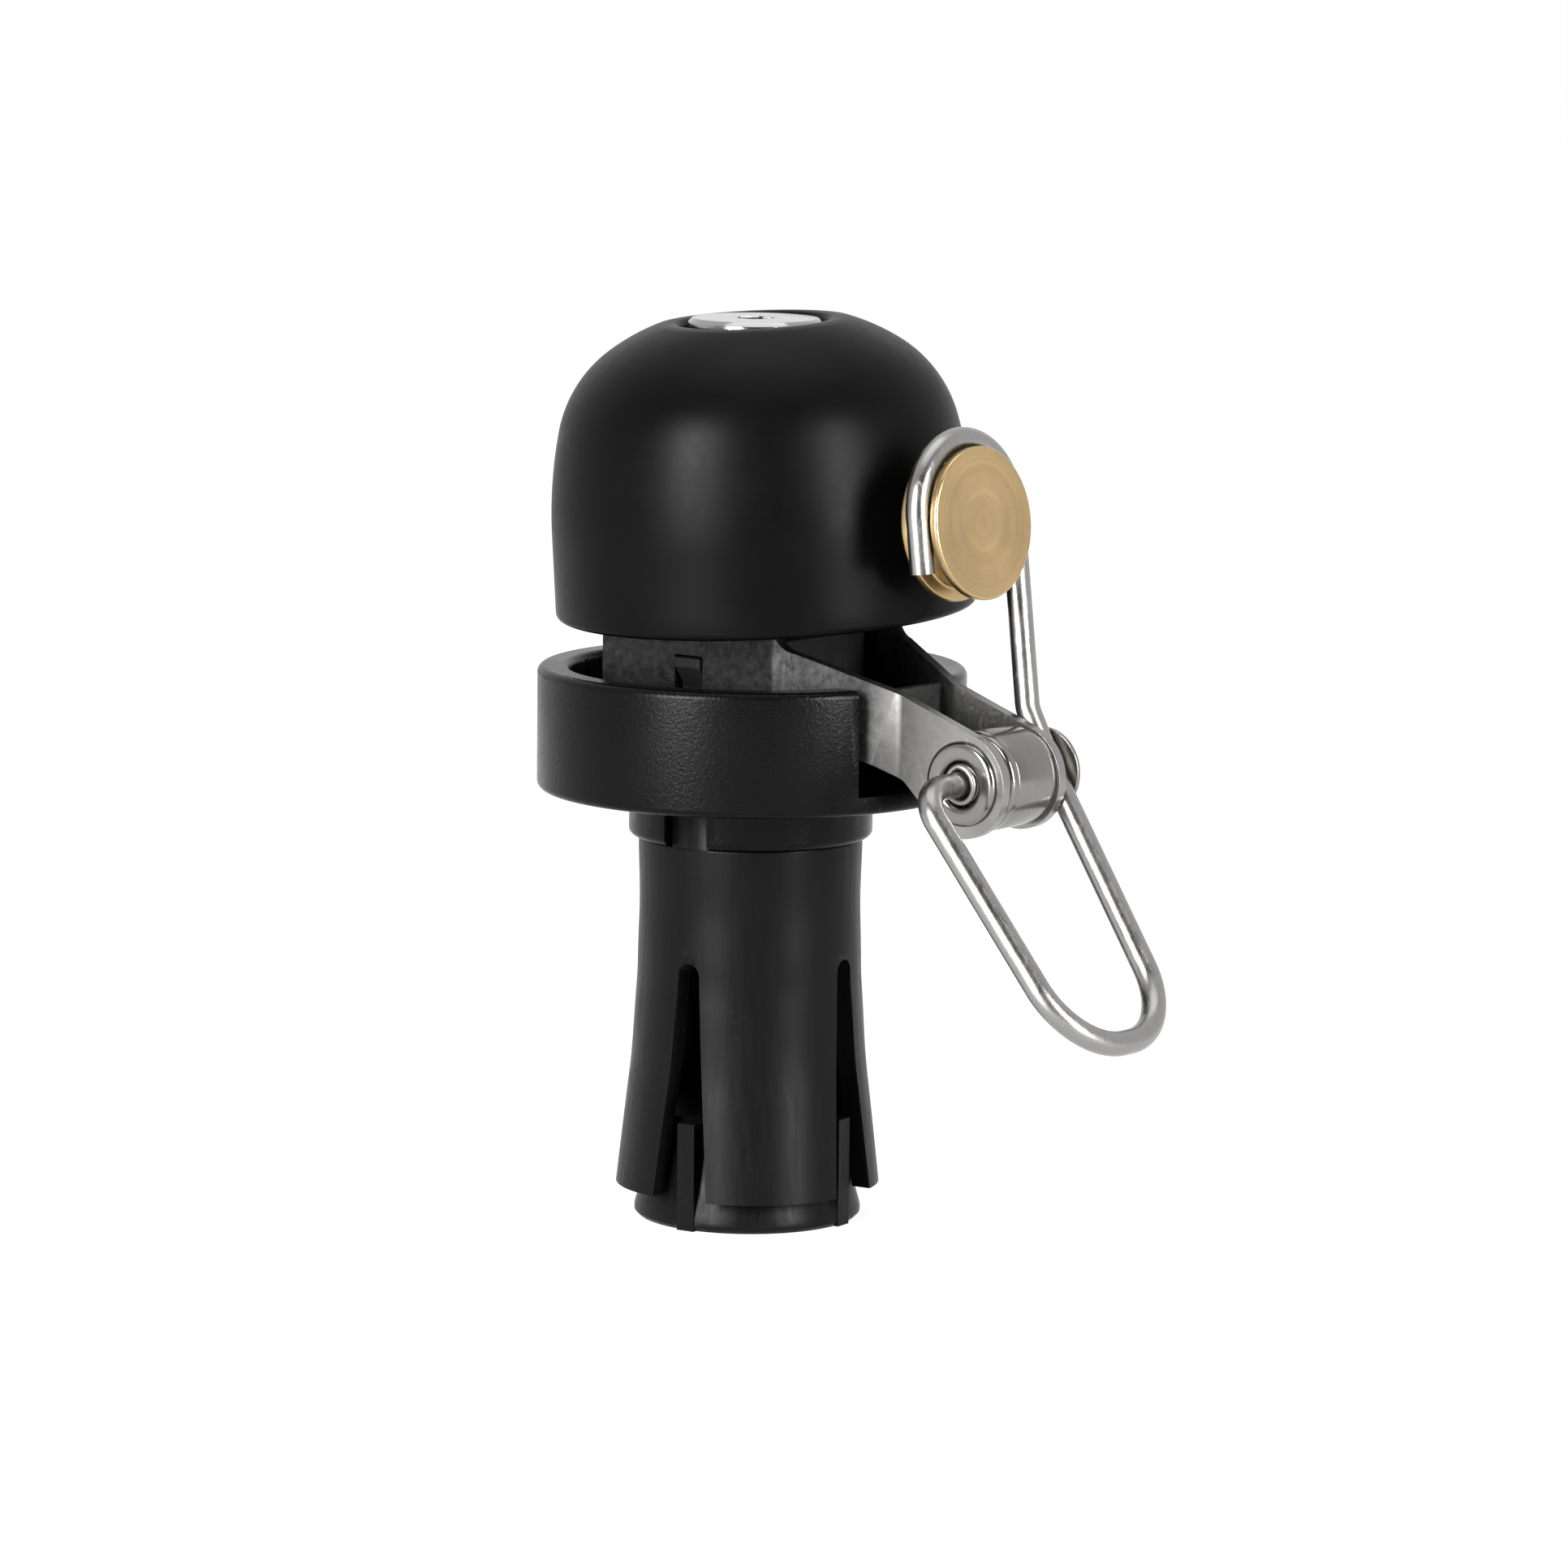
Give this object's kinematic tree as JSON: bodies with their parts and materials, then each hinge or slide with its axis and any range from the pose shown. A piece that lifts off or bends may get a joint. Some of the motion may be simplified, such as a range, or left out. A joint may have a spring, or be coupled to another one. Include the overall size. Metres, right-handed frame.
{
  "type": "bar-end bicycle bell",
  "caption": "Bar-end bicycle bell: domed gong over a cup ring, sprung wire striker with brass hammer and finger loop, and an expanding plug for the handlebar's bore.",
  "frame": {"origin": "centre of the cup ring's underside, the face that butts against the end of the handlebar", "axes": "+Z along the clamp screw towards the dome, +X the way the striker bracket points, Y along the striker's pivot"},
  "size_m": [0.0519, 0.0315, 0.0653],
  "materials": {
    "ring_coat": "fine textured satin black",
    "dome_coat": "smooth satin black",
    "expander_nylon": "matte black, slightly scuffed",
    "post_nylon": "matte black",
    "bush_nylon": "natural nylon",
    "seat_rubber": "soft black",
    "bracket_steel": "satin stainless sheet",
    "polished_steel": "polished stainless",
    "wire_steel": "bright drawn stainless wire",
    "spring_steel": "music wire",
    "hammer_brass": "turned brass",
    "screw_chrome": "bright chrome plate",
    "zinc_steel": "zinc plated"
  },
  "bodies": {
    "bell_frame": {"base_ring": "ring_coat", "expander_sleeve": "expander_nylon", "striker_bracket": "bracket_steel", "core_post": "post_nylon", "dome": "dome_coat", "dome_seat": "seat_rubber", "dome_washer": "post_nylon", "pivot_eyelet": "polished_steel", "pivot_bush": "bush_nylon", "spring_drum": "polished_steel", "drum_washers": "bracket_steel", "return_spring": "spring_steel"},
    "striker": {"striker_wire": "wire_steel", "hammer": "hammer_brass", "axle_cap": "bracket_steel"},
    "screw": {"clamp_screw": "screw_chrome"},
    "wedge": {"expander_wedge": "expander_nylon", "wedge_nut": "zinc_steel"},
    "leg_1": {"sleeve_leg_1": "expander_nylon"},
    "leg_2": {"sleeve_leg_2": "expander_nylon"},
    "leg_3": {"sleeve_leg_3": "expander_nylon"},
    "leg_4": {"sleeve_leg_4": "expander_nylon"}
  },
  "joints": [
    {"name": "striker_swing", "type": "hinge", "parent": "bell_frame", "child": "striker", "pos_m": [0.02215, 0, 0.0029], "axis": [0, 1, 0], "range_deg": [-5.7, 30], "stiffness_Nm_per_rad": 0.016, "deforming": ["return_spring"]},
    {"name": "clamp_turn", "type": "hinge", "parent": "bell_frame", "child": "screw", "pos_m": [0, 0, 0], "axis": [0, 0, -1], "range_deg": [-1800, 1080]},
    {"name": "wedge_draw", "type": "slide", "parent": "bell_frame", "child": "wedge", "axis": [0, 0, 1], "range_m": [-0.004, 0.0024]},
    {"name": "leg_flex_1", "type": "hinge", "parent": "bell_frame", "child": "leg_1", "pos_m": [0.00525, -0.00407, -0.01275], "axis": [-0.6129, -0.7902, 0], "range_deg": [-3.7, 2.3]},
    {"name": "leg_flex_2", "type": "hinge", "parent": "bell_frame", "child": "leg_2", "pos_m": [0.00407, 0.00525, -0.01275], "axis": [0.7902, -0.6129, 0], "range_deg": [-3.7, 2.3]},
    {"name": "leg_flex_3", "type": "hinge", "parent": "bell_frame", "child": "leg_3", "pos_m": [-0.00525, 0.00407, -0.01275], "axis": [0.6129, 0.7902, 0], "range_deg": [-3.7, 2.3]},
    {"name": "leg_flex_4", "type": "hinge", "parent": "bell_frame", "child": "leg_4", "pos_m": [-0.00407, -0.00525, -0.01275], "axis": [-0.7902, 0.6129, 0], "range_deg": [-3.7, 2.3]}
  ],
  "couplings": [
    {"joint": "clamp_turn", "follows": "wedge_draw", "rad_per_m": 7854},
    {"joint": "leg_flex_1", "follows": "wedge_draw", "rad_per_m": 15.576},
    {"joint": "leg_flex_2", "follows": "wedge_draw", "rad_per_m": 15.576},
    {"joint": "leg_flex_3", "follows": "wedge_draw", "rad_per_m": 15.576},
    {"joint": "leg_flex_4", "follows": "wedge_draw", "rad_per_m": 15.576}
  ]
}
